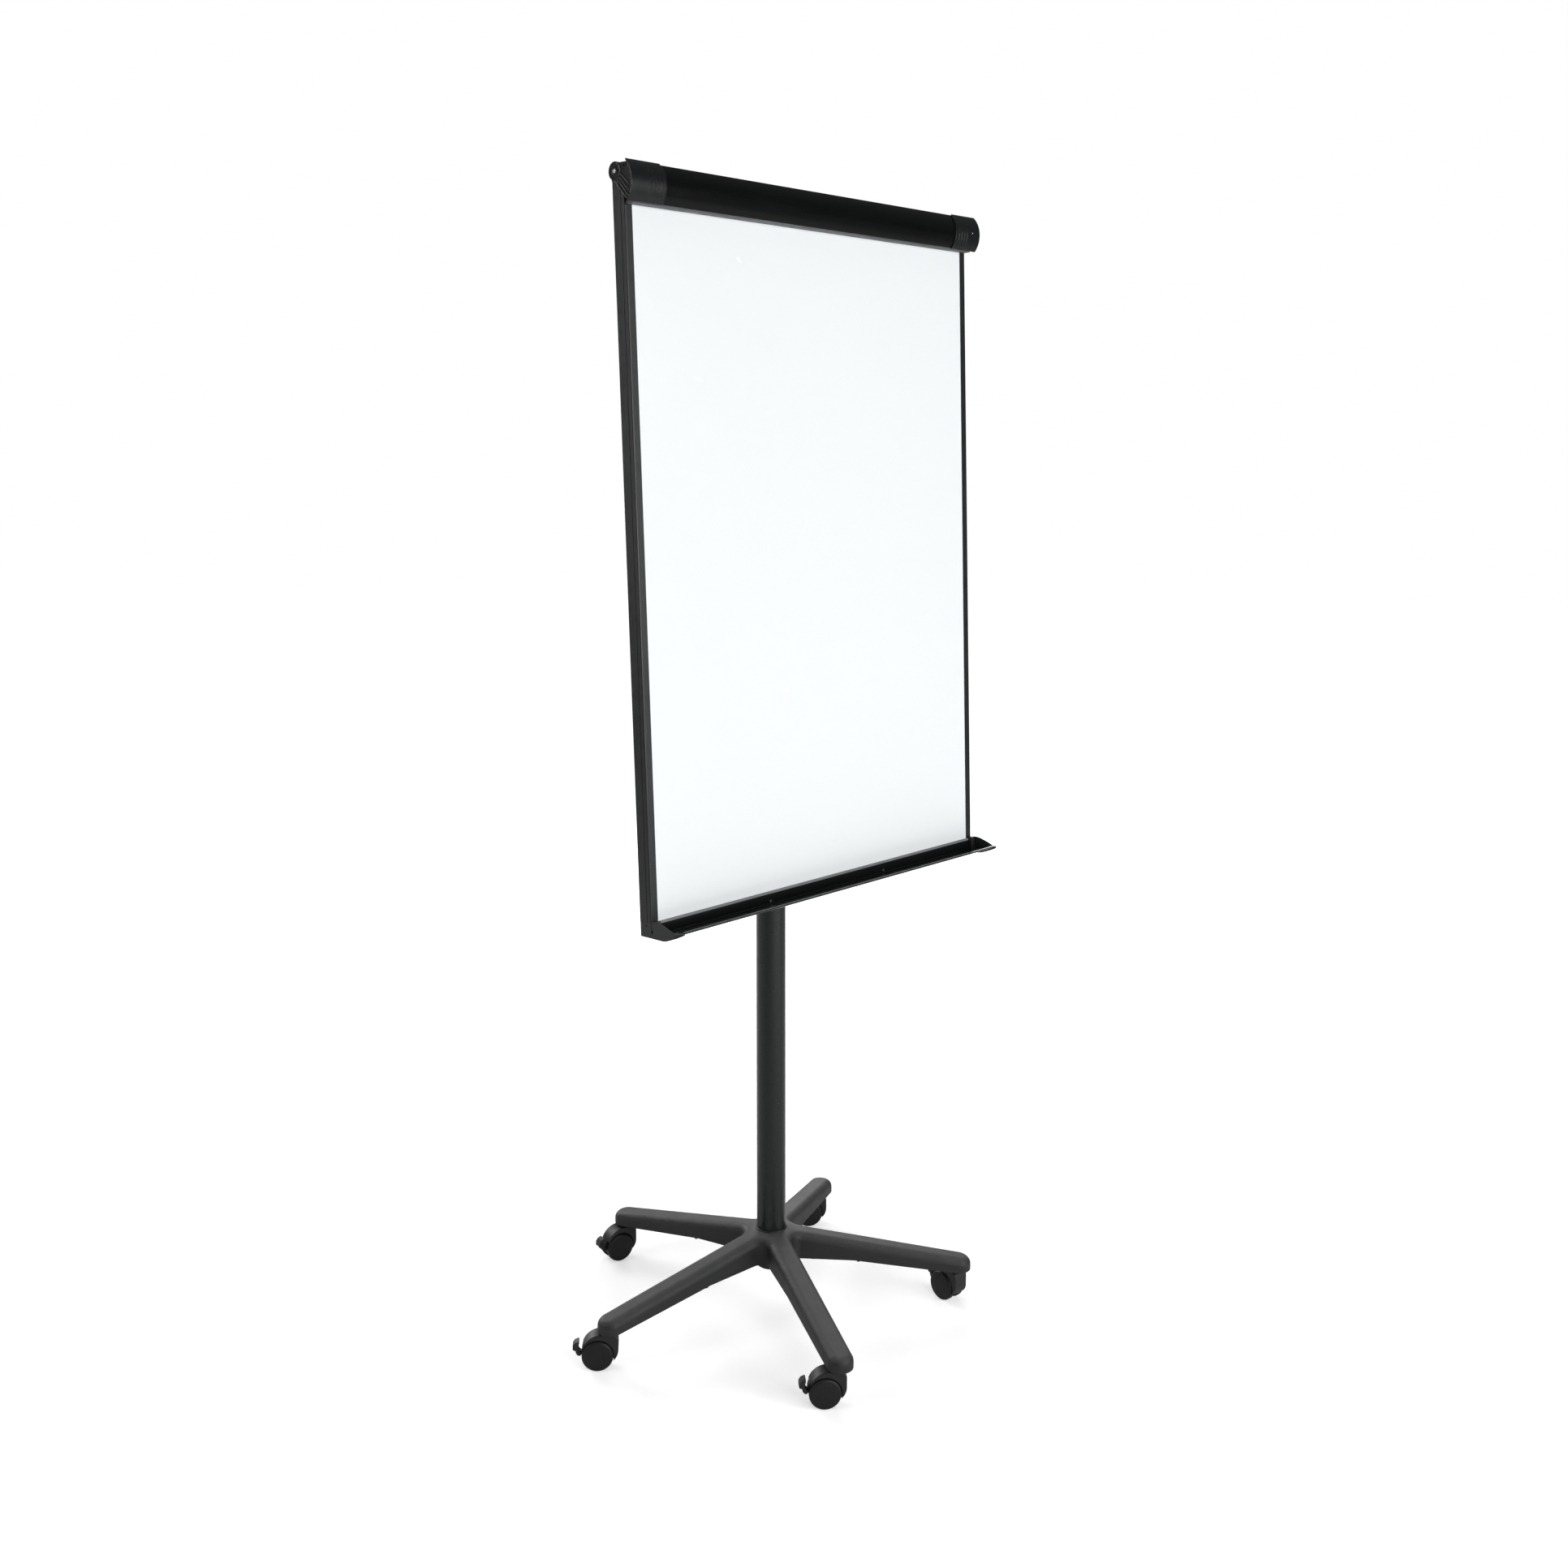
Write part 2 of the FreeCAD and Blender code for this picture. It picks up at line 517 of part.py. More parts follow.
def tray_cap():
    """Moulded end: solid at the board, then a thin wall whose crest falls to the lip."""
    inner, outer = TRAY_HALF, TRAY_END
    body = extrude("YZ", inner, outer, (-1.4, 2.6), ((-14, 3.2), (-27, 0)), ((-38, -3.6), (-47.5, -8.2)),
                   (-54.5, -6.2), (-57.6, -6.6), (-57.6, -8.8), ((-46, -14.2), (-34, -18.6)),
                   ((-26, -20.7), (-18, -20.9)), (-1.4, -20.9))
    corner = extrude("XY", -40, 20, (inner, 5), (outer, 5), (outer, -44),
                     ((outer - 1.6, -51.5), (outer - 6.5, -57.6)), (inner, -57.6))
    body = body.common(corner)
    pocket = trough(inner - 1, outer - TRAY_CAP_WALL).common(
        box((inner - 2, outer), (-44, -9.5), (-30, 20)))
    body = body.cut(pocket)
    body = body.cut(extrude("YZ", inner + 4, outer + 1, (-1, -8.6), (-4.6, -11.4), (-1, -14)))
    lug = box((inner - 12, inner + 3), (-0.4, 3.4), (-13, -8)).fuse(
        box((inner, inner + 3), (-4, 0), (-13, -8)))
    return body.fuse(lug)


# ---- clamp bar ----------------------------------------------------------

def bar_arc(proud):
    """Ends and crown of the bar's front, set out from the cover's outer face by proud."""
    return (-13.8 - proud, 995.8 + proud), (-24.04 - 1.3 * proud, 970.5), (-15 - proud, 947.2 - proud)


def clamp_cover():
    top, crown, low = bar_arc(0)
    in_top, in_crown, in_low = bar_arc(-COVER_T)
    lip = -5.0
    return extrude("YZ", -COVER_HALF, COVER_HALF, (lip, top[1] + 1.2), (top[0] + 1.5, top[1] + 0.8),
                   ((top[0] + 0.4, top[1] + 0.5), top), (crown, low), (low[0] + 1, low[1] - 0.5),
                   (-9, low[1] - 0.5), (-9, low[1] + 1.3), in_low, (in_crown, in_top),
                   (in_top[0] + 1, in_top[1] + 0.8), (lip, top[1] - 0.2))


def clamp_lip():
    """Soft strip under the cover's lower edge that presses the paper."""
    half = COVER_HALF - 2
    return extrude("YZ", -half, half, (-13.4, 944.4), (-2.6, 944.4), ((-1.5, 944.9), (-1.1, 946)),
                   (-1.1, 948.4), (-9, 948.4), (-9, 946.7), (-13.4, 946.7))


def grip_slice(low, high, depth):
    """A slice of a grip from x = low to x = high, its front sunk by depth between two heights."""
    top, crown, end = bar_arc(GRIP_PROUD)
    in_top, in_crown, in_end = bar_arc(0.02)
    centre, r = circle_through(top, crown, end)

    def on_front(z, inset):
        return (centre[0] - math.sqrt((r - inset) ** 2 - (z - centre[1]) ** 2), z)
    upper, lower = GROOVE_Z[1], GROOVE_Z[0]
    front = [(on_front(990, 0), on_front(upper, 0))]
    if depth:
        front.append(on_front(upper, depth))
    front.append((on_front(970.5, depth), on_front(lower, depth)))
    if depth:
        front.append(on_front(lower, 0))
    front.append((on_front(950, 0), end))
    return extrude("YZ", low, high, (top[0] + 1, top[1] + 1), top, *front,
                   (end[0] + 1.6, end[1] - 0.5), (-13.45, end[1] - 0.5), (-13.45, in_end[1] - 0.52),
                   (in_end[0] + 1, in_end[1] - 0.52), in_end, (in_crown, in_top), (in_top[0] + 0.4, top[1] + 1))


def clamp_grip():
    """Moulded grip over the end of the cover, grooved, with a stepped inner edge."""
    cuts = [GRIP_INNER]
    for x in GROOVE_X:
        cuts += [x - GROOVE_HALF, x + GROOVE_HALF]
    cuts.append(GRIP_OUTER)
    slices = [grip_slice(cuts[i], cuts[i + 1], GROOVE_DEPTH * (i % 2)) for i in range(len(cuts) - 1)]
    body = slices[0].multiFuse(slices[1:])
    step = extrude("XZ", -40, 0, (GRIP_INNER, 990), (GRIP_INNER, 1010), (GRIP_INNER + 6, 1010))
    return body.cut(step)


def clamp_arm():
    """Side plate from the pivot to the grip, stiffened by slanting ribs, with a lobe at the top."""
    y, z = HINGE
    x0, x1 = CLAMP_ARM
    top, crown, low = bar_arc(-0.02)
    lobe = (-11.4, 991.4)
    web = extrude("YZ", x0, x1, (y, z + HUB_R), (1, 995.6), (lobe[0], lobe[1] + 3.8), (top[0], top[1] - 0.5),
                  (crown, (low[0], low[1] + 0.3)), (low[0] + 3.5, low[1] - 0.1), (y - 2.5, 969.8),
                  (y + 6, z - HUB_R + 1.8))
    notch = extrude("YZ", x0 - 1, x1 + 1, (-4.0, 991.9), (-8.8, 991.6), (-7.4, 988.6))
    body = web.cut(notch).fuse(cylinder(HUB_R, x0, x1 + 1, "X", HINGE))
    body = body.cut(tube(HUB_R - 2.2, 5, x1, x1 + 2, "X", HINGE))
    for start, end in CLAMP_RIBS:
        run = Vector(0, end[0] - start[0], end[1] - start[1])
        rib = box((x1 - 0.5, x1 + 1), (0, run.Length), (-0.9, 0.9))
        rib.rotate(Vector(0, 0, 0), Vector(1, 0, 0), math.degrees(math.atan2(run.z, run.y)))
        rib.translate(Vector(0, *start))
        body = body.fuse(rib)
    body = body.cut(cylinder(1.6, x0 - 1, x1 + 2, "X", lobe))
    tie = box((COVER_HALF, x0 + 0.5), (-22, -19.5), (962, 980))
    return body.fuse(tie).cut(cylinder(PIN_R + RUNNING, x0 - 1, x1 + 3, "X", HINGE))


def hinge_pin():
    return cylinder(PIN_R, BOARD_HALF - 13, CLAMP_ARM[1] + 1.4, "X", HINGE)


# ---- pad hooks ----------------------------------------------------------

def hook_rail():
    """Slotted track across the top of the board, under the clamp bar."""
    z = HOOK_Z
    body = box((-330, 330), (-5, 0), (z - 7, z + 7))
    body = body.cut(box((-325, 325), (-3.8, -0.8), (z - 5, z + 5)))
    return body.cut(box((-325, 325), (-6, -2), (z - 2.3, z + 2.3)))


def pad_hook():
    foot = box((HOOK_X - 6, HOOK_X + 6), (-3.5, -1.1), (HOOK_Z - 4.7, HOOK_Z + 4.7))
    peg = cylinder(2.1, -12.2, -3, "Y", (HOOK_X, HOOK_Z))
    collar = cylinder(4.5, -6.6, -5.2, "Y", (HOOK_X, HOOK_Z))
    peg = fillet(peg, 1.2, lambda e: abs(e.CenterOfMass.y + 12.2) < 0.01)
    return foot.fuse(peg).fuse(collar)


# ---- assembly -----------------------------------------------------------

def build_base():
    save("base_star", base_star())
    save("hub_plug", hub_plug())
    save("castor_stems", *castor_stems())
    hood, lever = castor_hood(), brake_lever()
    axle = cylinder(AXLE_R, -13.9, 13.9, "Y", (TRAIL, WHEEL_R))
    wheels = {"a": castor_wheel(1), "b": castor_wheel(-1)}
    for k in range(ARMS):
        save(f"castor_hood_{k + 1}", castor_frame(hood, k))
        save(f"castor_axle_{k + 1}", castor_frame(axle, k))
        save(f"brake_lever_{k + 1}", castor_frame(lever, k))
        for side, wheel in wheels.items():
            save(f"castor_wheel_{k + 1}{side}", castor_frame(wheel, k))


def build_column():
    save("outer_column", outer_column())
    save("column_foot_ring", column_foot_ring())
    save("height_collar", height_collar())
    save("knob_stud", knob_stud())
    save("height_knob", height_knob())
    save("inner_column", inner_column())
    save("guide_bush", guide_bush())
    save("column_cap", column_cap())
    save("column_brackets", *[column_bracket(z) for z in CROSS_RAIL_Z])


def build_board():
    for name, solids in {
        "writing_surface": [writing_surface()],
        "panel_core": [panel_core()],
        "cross_rails": [cross_rail(z) for z in CROSS_RAIL_Z],
        "fixing_screws": fixing_screws(),
        "rail_plugs": [rail_plug(), mirrored(rail_plug())],
        "hinge_lugs": [hinge_lug(), mirrored(hinge_lug())],
        "hinge_pins": [hinge_pin(), mirrored(hinge_pin())],
        "pen_tray": [pen_tray()],
        "clamp_cover": [clamp_cover()],
        "clamp_lip": [clamp_lip()],
        "hook_rail": [hook_rail()],
    }.items():
        save(name, *[on_board(s) for s in solids])
    for name, right in {
        "edge_trim": edge_trim(),
        "side_rail": side_rail(),
        "tray_cap": tray_cap(),
        "clamp_grip": clamp_grip(),
        "clamp_arm": clamp_arm(),
        "pad_hook": pad_hook(),
    }.items():
        save(f"{name}_right", on_board(right))
        save(f"{name}_left", on_board(mirrored(right)))


build_base()
build_column()
build_board()
os.makedirs("parts", exist_ok=True)
for name, shape in parts.items():
    shape.exportStep(f"parts/{name}.step")
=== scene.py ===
"""Looks of a mobile magnetic whiteboard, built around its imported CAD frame.

Metres, +Z up. The board faces -Y and leans back a little; its width runs along X.
"""

import json
import math

import bmesh
import bpy
from mathutils import Matrix, Vector


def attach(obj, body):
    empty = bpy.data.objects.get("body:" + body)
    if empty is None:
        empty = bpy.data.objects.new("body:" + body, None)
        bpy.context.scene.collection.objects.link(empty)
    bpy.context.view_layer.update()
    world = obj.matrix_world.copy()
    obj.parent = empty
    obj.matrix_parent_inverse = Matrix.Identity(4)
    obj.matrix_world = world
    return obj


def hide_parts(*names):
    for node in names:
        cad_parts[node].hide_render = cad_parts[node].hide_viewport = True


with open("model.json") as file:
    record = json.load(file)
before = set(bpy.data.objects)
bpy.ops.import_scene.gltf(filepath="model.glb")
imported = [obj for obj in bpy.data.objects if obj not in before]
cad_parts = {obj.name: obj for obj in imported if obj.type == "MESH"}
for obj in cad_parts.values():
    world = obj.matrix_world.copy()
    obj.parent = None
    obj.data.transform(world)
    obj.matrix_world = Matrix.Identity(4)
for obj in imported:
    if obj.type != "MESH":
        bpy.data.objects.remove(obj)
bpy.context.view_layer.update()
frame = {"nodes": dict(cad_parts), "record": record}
nodes = frame["nodes"]
record = frame["record"]
body_of_node = {node: body for body, members in record["behaviour"]["bodies"].items() for node in members}
mounts = {mount["name"]: mount for mount in record["mounts"]}

# The board's own frame: x across, y backwards from the white face, z up the face
FACE = mounts["writing_face"]
FACE_HALF_HEIGHT = 0.473
BOARD_OUT = Vector(FACE["axis"])
BOARD_UP = BOARD_OUT.cross(Vector((1, 0, 0))).normalized()
BOARD_FOOT = Vector(FACE["pos_m"]) - FACE_HALF_HEIGHT * BOARD_UP


def on_board(x, y, z):
    """A point of the board's own frame, with z counted from the foot of the white face."""
    return BOARD_FOOT + Vector((x, 0, 0)) - y * BOARD_OUT + z * BOARD_UP


CASTORS = range(1, 6)
SIDES = ("left", "right")
GRAINS_PER_M = 1 / 0.00045   # of moulded plastic
PEEL_PER_M = 1 / 0.0011      # of stove-dried paint
DUST = (0.30, 0.295, 0.285)
# grey painted onto faces that look up, as light falling from above
PAINTED_TOP_LIGHT = (0.085, 0.085, 0.088)
# edge colours: worn plastic, and worn paint that also serves as a painted edge highlight
RUBBED_PLASTIC, WORN_AND_HIGHLIT_PAINT = (0.12, 0.12, 0.12), (0.16, 0.165, 0.17)


# ---- shader building ----------------------------------------------------

def sockets_of(settings):
    """Keyword names such as coat_roughness as the shader's own socket names."""
    return {key.replace("_", " ").title().replace("Ior", "IOR"): value for key, value in settings.items()}


class Shader:
    """A material with a Principled shader and short calls that add nodes to it."""

    def __init__(self, name, color, roughness, metallic=0.0, **sockets):
        self.material = bpy.data.materials.new(name)
        self.material.use_nodes = True
        self.tree = self.material.node_tree
        self.shader = self.tree.nodes["Principled BSDF"]
        self.set(self.shader, {"Base Color": (*color, 1), "Roughness": roughness, "Metallic": metallic})
        self.set(self.shader, sockets_of(sockets))
        self.place = self.node("ShaderNodeTexCoord").outputs["Object"]
        self.height = None

    def node(self, kind, inputs=(), **settings):
        made = self.tree.nodes.new(kind)
        for key, value in settings.items():
            setattr(made, key, value)
        self.set(made, dict(inputs))
        return made

    def set(self, node, inputs):
        for key, value in inputs.items():
            socket = node.inputs[key]
            if isinstance(value, bpy.types.NodeSocket):
                self.tree.links.new(value, socket)
            else:
                socket.default_value = value

    def stretched(self, scale, turn=(0, 0, 0)):
        """Object coordinates scaled along each axis, for streaks."""
        mapping = self.node("ShaderNodeMapping", {"Vector": self.place, "Scale": scale, "Rotation": turn})
        return mapping.outputs["Vector"]

    def noise(self, scale, detail=3.0, rough=0.5, place=None, distortion=0.0):
        made = self.node("ShaderNodeTexNoise", {
            "Vector": place or self.place, "Scale": scale, "Detail": detail, "Roughness": rough,
            "Distortion": distortion})
        return made.outputs["Fac"]

    def cells(self, scale):
        return self.node("ShaderNodeTexVoronoi", {"Vector": self.place, "Scale": scale}).outputs["Distance"]

    def spread(self, value, low, high, to_low=0.0, to_high=1.0):
        made = self.node("ShaderNodeMapRange", {"Value": value, "From Min": low, "From Max": high,
                                                "To Min": to_low, "To Max": to_high})
        return made.outputs["Result"]

    def math(self, operation, a, b=0.5):
        made = self.node("ShaderNodeMath", {0: a, 1: b}, operation=operation)
        return made.outputs["Value"]

    def dot(self, a, b):
        return self.node("ShaderNodeVectorMath", {0: a, 1: b}, operation="DOT_PRODUCT").outputs["Value"]

    def blend(self, share, a, b):
        """Colour a where share is 0, b where it is 1."""
        made = self.node("ShaderNodeMix", data_type="RGBA")
        self.set(made, {"Factor": share})
        for socket, value in ((made.inputs[6], a), (made.inputs[7], b)):
            if isinstance(value, bpy.types.NodeSocket):
                self.tree.links.new(value, socket)
            else:
                socket.default_value = (*value, 1)
        return made.outputs[2]

    def upward(self, low=0.35, high=0.95):
        """1 on faces that look up in the piece's own frame, 0 on the others."""
        normal = self.node("ShaderNodeTexCoord").outputs["Normal"]
        z = self.node("ShaderNodeSeparateXYZ", {"Vector": normal}).outputs["Z"]
        return self.spread(z, low, high)

    def edge(self, radius, low=0.02, high=0.25):
        """1 along convex and concave edges within that radius."""
        soft = self.node("ShaderNodeBevel", {"Radius": radius}, samples=4).outputs["Normal"]
        sharp = self.node("ShaderNodeNewGeometry").outputs["Normal"]
        return self.spread(self.math("SUBTRACT", 1.0, self.dot(soft, sharp)), low, high)

    def along(self, direction, start):
        """Metres from start, measured along direction."""
        offset = self.node("ShaderNodeVectorMath", {0: self.place, 1: start}, operation="SUBTRACT")
        return self.dot(offset.outputs["Vector"], direction)

    def rounded(self, radius):
        """Shades edges as if they were rounded off by that radius."""
        self.height = self.node("ShaderNodeBevel", {"Radius": radius}, samples=6).outputs["Normal"]

    def bump(self, height, distance, strength=1.0):
        """Adds a relief of that depth in metres to what is there."""
        made = self.node("ShaderNodeBump", {"Height": height, "Distance": distance, "Strength": strength})
        if self.height is not None:
            self.tree.links.new(self.height, made.inputs["Normal"])
        self.height = made.outputs["Normal"]
        self.tree.links.new(self.height, self.shader.inputs["Normal"])

    def use(self, **sockets):
        self.set(self.shader, sockets_of(sockets))

    def __call__(self, *names):
        for name in names:
            piece = bpy.data.objects[name]
            piece.data.materials.clear()
            piece.data.materials.append(self.material)


def shade(color, factor):
    """The same hue, darker or lighter."""
    return tuple(min(1.0, c * factor) for c in color)


def moulded(name, color, roughness, dust=0.0, painted_top_light=0.0, edge_wear_and_highlight=0.0, rounding=0.0, **sockets):
    """Injection-moulded plastic: spark-eroded grain and uneven sheen.

    dust lightens what looks up, and a painted top light makes the up-facing faces lighter as if lit from
    above; the edges are lightened by wear and a painted edge highlight, and rounding softens the edges'
    shading.
    """
    s = Shader(name, color, roughness, **sockets)
    if rounding:
        s.rounded(rounding)
    cloud = s.noise(9, 4, 0.6)
    tone = s.blend(s.spread(cloud, 0.3, 0.7), shade(color, 0.88), shade(color, 1.14))
    specks = s.spread(s.noise(2400, 1), 0.62, 0.75)
    tone = s.blend(s.math("MULTIPLY", specks, 0.25), tone, shade(color, 2.2))
    # painted light: faces that look up are lightened, as if lit from above
    if painted_top_light:
        tone = s.blend(s.math("MULTIPLY", s.upward(0.5, 0.97), painted_top_light), tone, PAINTED_TOP_LIGHT)
    if dust:
        film = s.spread(s.noise(38, 6, 0.7), 0.42, 0.78)
        film = s.math("MULTIPLY", s.math("MULTIPLY", film, s.upward()), dust)
        tone = s.blend(film, tone, DUST)
    # lighter edges: wear, and a painted edge highlight
    if edge_wear_and_highlight:
        tone = s.blend(s.math("MULTIPLY", s.edge(0.0007), edge_wear_and_highlight), tone, RUBBED_PLASTIC)
    rub = s.spread(s.noise(55, 5, 0.65), 0.3, 0.7, roughness - 0.03, roughness + 0.05)
    s.use(base_color=tone, roughness=rub)
    s.bump(s.noise(GRAINS_PER_M, 2, 0.6), 0.00003)
    s.bump(s.noise(26, 2), 0.0004, 0.1)
    return s


def powder_coat(name, color, roughness, edge_wear_and_highlight=0.0, **sockets):
    """Stove-dried paint: orange peel, faint sparkle, slow change of tone along the profile."""
    s = Shader(name, color, roughness, **sockets)
    slow = s.noise(3.5, 3, 0.55)
    tone = s.blend(s.spread(slow, 0.3, 0.7), shade(color, 0.9), shade(color, 1.12))
    sparkle = s.spread(s.noise(3800, 1), 0.66, 0.74)
    tone = s.blend(s.math("MULTIPLY", sparkle, 0.35), tone, shade(color, 3.0))
    # lighter edges: wear, and a painted highlight along the rounded edges
    if edge_wear_and_highlight:
        tone = s.blend(s.math("MULTIPLY", s.edge(0.0008), edge_wear_and_highlight), tone, WORN_AND_HIGHLIT_PAINT)
    s.use(base_color=tone, roughness=s.spread(s.noise(85, 4), 0.3, 0.7, roughness - 0.05, roughness + 0.07))
    s.bump(s.noise(PEEL_PER_M, 2, 0.5), 0.00004)
    return s


def tray_extrusion():
    """Black tray profile: hairlines along its length, and a painted highlight as a light grey band on the
    bevel under the white face.
    """
    color, roughness = (0.0036, 0.0044, 0.0046), 0.26
    s = Shader("tray_gloss", color, roughness, specular_ior_level=0.35)
    lines = s.noise(1, 3, 0.7, s.stretched((1.2, 900, 900)))
    bands = s.noise(1, 4, 0.6, s.stretched((0.6, 60, 60)))
    tone = s.blend(s.spread(bands, 0.25, 0.75), shade(color, 0.85), shade(color, 1.18))
    # painted highlight: a light grey band on the bevel just under the white face
    highlight_band = s.spread(s.along(BOARD_UP, BOARD_FOOT), -0.0023, -0.0017)
    before = s.spread(s.along(BOARD_OUT, BOARD_FOOT), 0.0002, 0.0004)
    tone = s.blend(s.math("MULTIPLY", highlight_band, before), tone, (0.17, 0.178, 0.182))
    s.use(base_color=tone, roughness=s.spread(bands, 0.3, 0.7, roughness - 0.05, roughness + 0.06))
    s.bump(lines, 0.000012, 0.6)
    return s


# ---- materials ----------------------------------------------------------

def enamel():
    """White lacquered steel sheet: gloss coat, wiping haze, faint ghosts of old writing."""
    white = (0.80, 0.83, 0.84)
    s = Shader("white_enamel", white, 0.24, coat_weight=0.55, coat_roughness=0.06, coat_ior=1.5)
    wipes = s.noise(1, 4, 0.6, s.stretched((2.2, 7, 7), (0, math.radians(24), 0)), 0.8)
    swirl = s.noise(3.1, 5, 0.62, distortion=1.6)
    haze = s.math("MULTIPLY", s.spread(wipes, 0.4, 0.7), s.spread(swirl, 0.35, 0.7))
    tone = s.blend(s.math("MULTIPLY", haze, 0.35), white, (0.77, 0.80, 0.815))
    s.use(base_color=tone, roughness=s.spread(haze, 0, 1, 0.2, 0.34))
    s.bump(s.noise(420, 2), 0.000006)
    s.bump(s.noise(5, 2), 0.0006, 0.06)
    return s


def gloss_cover():
    """Polished black extrusion of the clamp bar, with soft lengthwise waviness and fine scratches."""
    black = (0.0026, 0.0030, 0.0031)
    s = Shader("clamp_gloss", black, 0.2, specular_ior_level=0.14, coat_weight=0.03, coat_roughness=0.08)
    bands = s.noise(1, 3, 0.5, s.stretched((0.9, 42, 42)))
    smears = s.noise(7, 5, 0.65, s.stretched((0.5, 2, 2)), 0.7)
    scratch = s.spread(s.noise(1, 2, 0.9, s.stretched((6, 700, 260), (0, 0.12, 0))), 0.66, 0.72)
    tone = s.blend(s.spread(bands, 0.3, 0.7), shade(black, 0.75), shade(black, 1.5))
    tone = s.blend(s.math("MULTIPLY", scratch, 0.12), tone, (0.04, 0.04, 0.04))
    s.use(base_color=tone, roughness=s.spread(smears, 0.3, 0.7, 0.15, 0.3))
    s.bump(bands, 0.0005, 0.12)
    s.bump(s.noise(650, 2), 0.000008)
    return s


def tread():
    """Nylon wheel: turned face, scuffed and dusty where it rolls."""
    color = (0.0058, 0.0060, 0.0064)
    s = Shader("wheel_plastic", color, 0.46, specular_ior_level=0.26)
    dirt = s.spread(s.noise(190, 5, 0.7), 0.55, 0.8)
    tone = s.blend(s.math("MULTIPLY", dirt, 0.08), color, (0.12, 0.115, 0.105))
    tone = s.blend(s.spread(s.noise(18, 3), 0.3, 0.7), tone, shade(color, 1.3))
    s.use(base_color=tone, roughness=s.spread(s.noise(120, 4), 0.3, 0.7, 0.38, 0.56))
    s.bump(s.noise(1900, 2), 0.00001)
    s.bump(s.noise(150, 2), 0.00005, 0.15)
    return s


def lip_rubber():
    """Grey sealing strip under the clamp bar, drawn lengthwise."""
    color = (0.085, 0.09, 0.093)
    s = Shader("lip_rubber", color, 0.62)
    tone = s.blend(s.spread(s.noise(1, 3, 0.5, s.stretched((14, 90, 90))), 0.3, 0.7), shade(color, 0.8),
                   shade(color, 1.2))
    s.use(base_color=tone, roughness=s.spread(s.noise(140, 3), 0.3, 0.7, 0.52, 0.7))
    s.bump(s.noise(1500, 3), 0.00004)
    return s


def zinc():
    """Zinc-plated steel of pins, axles and screws."""
    color = (0.56, 0.57, 0.58)
    s = Shader("fastener_steel", color, 0.3, metallic=1.0)
    crystals = s.cells(900)
    tone = s.blend(s.spread(crystals, 0.1, 0.6), shade(color, 0.85), shade(color, 1.1))
    s.use(base_color=tone, roughness=s.spread(s.noise(700, 3), 0.3, 0.7, 0.24, 0.42))
    s.bump(s.noise(1, 2, 0.5, s.stretched((2600, 300, 300))), 0.00001)
    return s


def chrome_tube():
    """Chromed inner tube, with grind lines round it and a film of grease."""
    color = (0.62, 0.63, 0.64)
    s = Shader("inner_tube_chrome", color, 0.1, metallic=1.0)
    lines = s.noise(1, 2, 0.6, s.stretched((700, 700, 2)))
    smear = s.noise(14, 5, 0.7, s.stretched((1, 1, 0.35)))
    s.use(base_color=s.blend(s.spread(smear, 0.4, 0.8), color, shade(color, 0.86)),
          roughness=s.spread(smear, 0.35, 0.75, 0.07, 0.2))
    s.bump(lines, 0.000005, 0.6)
    return s


def backing():
    """Light grey laminate on the back of the board."""
    color = (0.36, 0.37, 0.375)
    s = Shader("core_board", color, 0.55)
    fibres = s.noise(1, 4, 0.7, s.stretched((260, 260, 30)))
    tone = s.blend(s.spread(fibres, 0.3, 0.7), shade(color, 0.93), shade(color, 1.05))
    s.use(base_color=tone, roughness=s.spread(s.noise(40, 4), 0.3, 0.7, 0.48, 0.62))
    s.bump(s.noise(900, 3), 0.00003)
    return s


moulded("base_plastic", (0.0140, 0.0142, 0.0150), 0.55, dust=0.05, painted_top_light=0.75, specular_ior_level=0.34)(
    "base_star")
moulded("castor_plastic", (0.0085, 0.0088, 0.0092), 0.48, dust=0.04, specular_ior_level=0.36)(
    "hub_plug", "column_foot_ring", "guide_bush",
    *[f"castor_hood_{k}" for k in CASTORS], *[f"brake_lever_{k}" for k in CASTORS])
tread()(*[f"castor_wheel_{k}{side}" for k in CASTORS for side in "ab"])
powder_coat("column_paint", (0.0046, 0.0056, 0.0060), 0.3, specular_ior_level=0.36)(
    "outer_column", "column_brackets")
powder_coat("frame_paint", (0.0095, 0.0105, 0.0112), 0.34, edge_wear_and_highlight=0.35, specular_ior_level=0.42)(
    "cross_rails", *[f"side_rail_{s}" for s in SIDES], *[f"edge_trim_{s}" for s in SIDES])
moulded("end_plastic", (0.0155, 0.0165, 0.0175), 0.42, edge_wear_and_highlight=0.4, specular_ior_level=0.4)(
    "height_collar", "column_cap", "rail_plugs", "hinge_lugs", "hook_rail", *[f"tray_cap_{s}" for s in SIDES])
moulded("grip_plastic", (0.0052, 0.0058, 0.0064), 0.34, edge_wear_and_highlight=0.15, rounding=0.0024, specular_ior_level=0.26,
        coat_weight=0.12, coat_roughness=0.12)(
    "height_knob", *[f"clamp_grip_{s}" for s in SIDES], *[f"clamp_arm_{s}" for s in SIDES])
moulded("hook_plastic", (0.0085, 0.0085, 0.009), 0.42, specular_ior_level=0.4)(
    *[f"pad_hook_{s}" for s in SIDES])
tray_extrusion()("pen_tray")
enamel()("writing_surface")
gloss_cover()("clamp_cover")
lip_rubber()("clamp_lip")
backing()("panel_core")
chrome_tube()("inner_column")
steel = zinc()
steel("castor_stems", "knob_stud", "fixing_screws", "hinge_pins", *[f"castor_axle_{k}" for k in CASTORS])


# ---- pieces -------------------------------------------------------------

